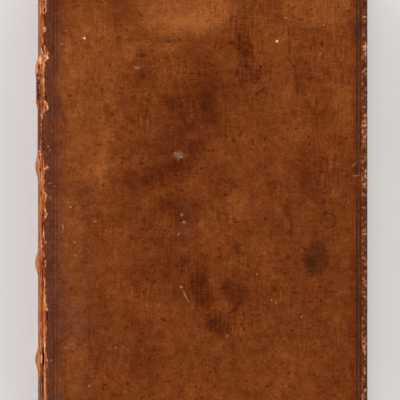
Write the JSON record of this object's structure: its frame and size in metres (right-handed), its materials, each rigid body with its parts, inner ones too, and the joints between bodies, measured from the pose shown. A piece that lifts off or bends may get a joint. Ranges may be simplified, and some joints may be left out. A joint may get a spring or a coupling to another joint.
{
  "type": "antique leather book",
  "caption": "Old calf-bound octavo book with raised bands, blind-ruled pasteboard covers that open on their joints, and a sewn text block.",
  "frame": {"origin": "on the surface the book lies on, under the middle of the closed book", "axes": "+Z from the rear cover up to the front cover, +Y from tail to head, +X from the spine to the fore-edge"},
  "size_m": [0.127, 0.2, 0.036],
  "materials": {
    "calf": "polished brown calf, stained and worn",
    "pasteboard": "grey-brown pasteboard",
    "text_paper": "toned rag paper, cut edges",
    "endpaper": "laid endpaper with foxing",
    "hemp_cord": "twisted hemp",
    "endband_thread": "plain linen thread over a core"
  },
  "bodies": {
    "text_block": {"text_block": "text_paper", "front_flyleaf": "endpaper", "rear_flyleaf": "endpaper", "spine_leather": "calf", "head_endband": "endband_thread", "tail_endband": "endband_thread", "sewing_cord_1": "hemp_cord", "sewing_cord_2": "hemp_cord", "sewing_cord_3": "hemp_cord", "sewing_cord_4": "hemp_cord"},
    "front_cover": {"front_board": "pasteboard", "front_leather": "calf", "front_pastedown": "endpaper", "front_cord_slip_1": "hemp_cord", "front_cord_slip_2": "hemp_cord", "front_cord_slip_3": "hemp_cord", "front_cord_slip_4": "hemp_cord"},
    "rear_cover": {"rear_board": "pasteboard", "rear_leather": "calf", "rear_pastedown": "endpaper", "rear_cord_slip_1": "hemp_cord", "rear_cord_slip_2": "hemp_cord", "rear_cord_slip_3": "hemp_cord", "rear_cord_slip_4": "hemp_cord"}
  },
  "joints": [
    {"name": "front_joint", "type": "hinge", "parent": "text_block", "child": "front_cover", "pos_m": [-0.06003, 0, 0.036], "axis": [0, -1, 0], "range_deg": [0, 170]},
    {"name": "rear_joint", "type": "hinge", "parent": "text_block", "child": "rear_cover", "pos_m": [-0.06003, 0, 0], "axis": [0, 1, 0], "range_deg": [0, 170]}
  ]
}
